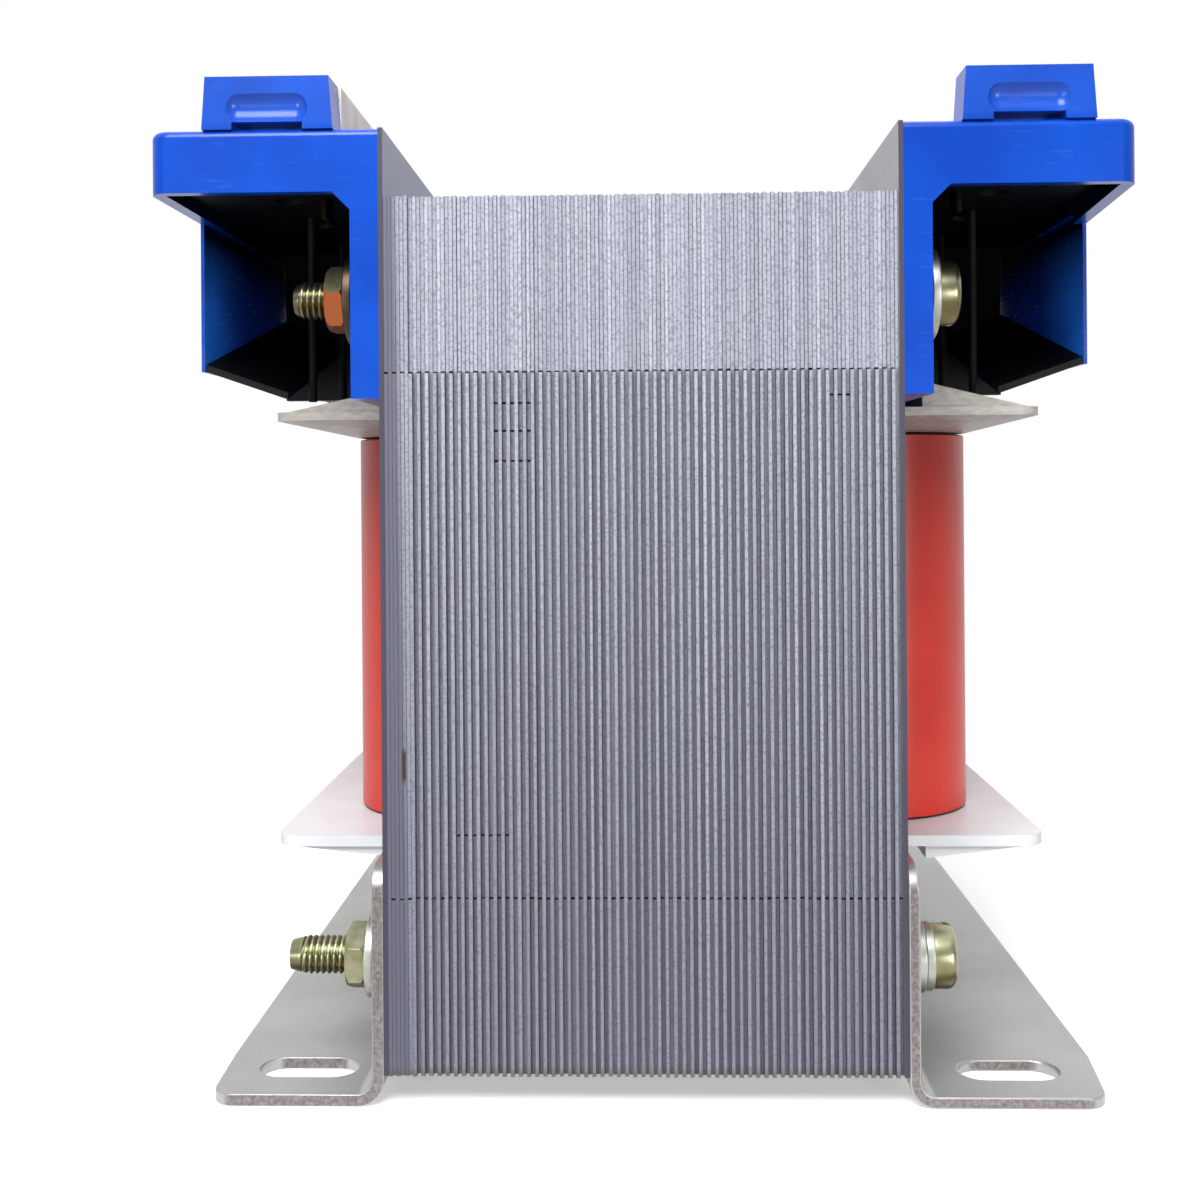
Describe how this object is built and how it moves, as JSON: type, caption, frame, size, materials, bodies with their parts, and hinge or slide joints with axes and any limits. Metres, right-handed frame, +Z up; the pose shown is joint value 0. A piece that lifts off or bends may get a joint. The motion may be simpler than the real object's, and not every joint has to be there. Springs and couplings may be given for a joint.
{
  "type": "control transformer",
  "caption": "Open-frame control transformer with an interleaved lamination core, wound coil, screw terminal bases and slotted feet.",
  "frame": {"origin": "on the ground under the middle of the core, at the bottom centre of the bounding box", "axes": "+X along the lamination stack towards the bolt heads, +Y in depth across the laminations, +Z up"},
  "size_m": [0.1246, 0.1332, 0.1303],
  "materials": {
    "silicon_steel": "sheared lamination edges, dull lilac grey",
    "end_sheet": "plain thin sheet, matte pale grey",
    "white_plastic": "moulded white, satin",
    "pressboard": "plain pressed board",
    "enamelled_copper": "enamelled copper wire, wound solid",
    "insulation_film": "thin insulating film",
    "red_wrap": "red polyester wrap, slightly glossy",
    "ivory_plastic": "moulded ivory, matte",
    "zinc_steel": "folded steel, bright zinc plate",
    "blue_plastic": "moulded blue, glossy",
    "black_plastic": "moulded black, satin",
    "terminal_brass": "stamped brass strip",
    "lead_sleeve": "grey insulating sleeve",
    "yellow_zinc": "yellow passivated zinc plate"
  },
  "bodies": {
    "root": {"bobbin": "white_plastic", "bolt_sleeves": "insulation_film", "coil_wrap": "red_wrap", "e_laminations": "silicon_steel", "i_laminations": "silicon_steel", "left_clamp_washers": "zinc_steel", "left_end_sheet": "end_sheet", "left_foot": "zinc_steel", "left_lead_wires": "lead_sleeve", "left_marker_strip": "ivory_plastic", "left_terminal_base": "blue_plastic", "left_terminal_insert": "black_plastic", "left_terminal_plates": "terminal_brass", "left_terminal_screws": "zinc_steel", "lower_bolts": "yellow_zinc", "lower_flat_washers": "yellow_zinc", "lower_nuts": "yellow_zinc", "lower_spring_washers": "yellow_zinc", "packing_strip": "pressboard", "primary_winding": "enamelled_copper", "right_clamp_washers": "zinc_steel", "right_end_sheet": "end_sheet", "right_foot": "zinc_steel", "right_lead_wires": "lead_sleeve", "right_terminal_base": "blue_plastic", "right_terminal_insert": "black_plastic", "right_terminal_plates": "terminal_brass", "right_terminal_screws": "zinc_steel", "secondary_winding": "enamelled_copper", "upper_bolts": "yellow_zinc", "upper_flat_washers": "yellow_zinc", "upper_nuts": "yellow_zinc", "upper_spring_washers": "yellow_zinc", "winding_screen": "insulation_film"}
  },
  "joints": []
}
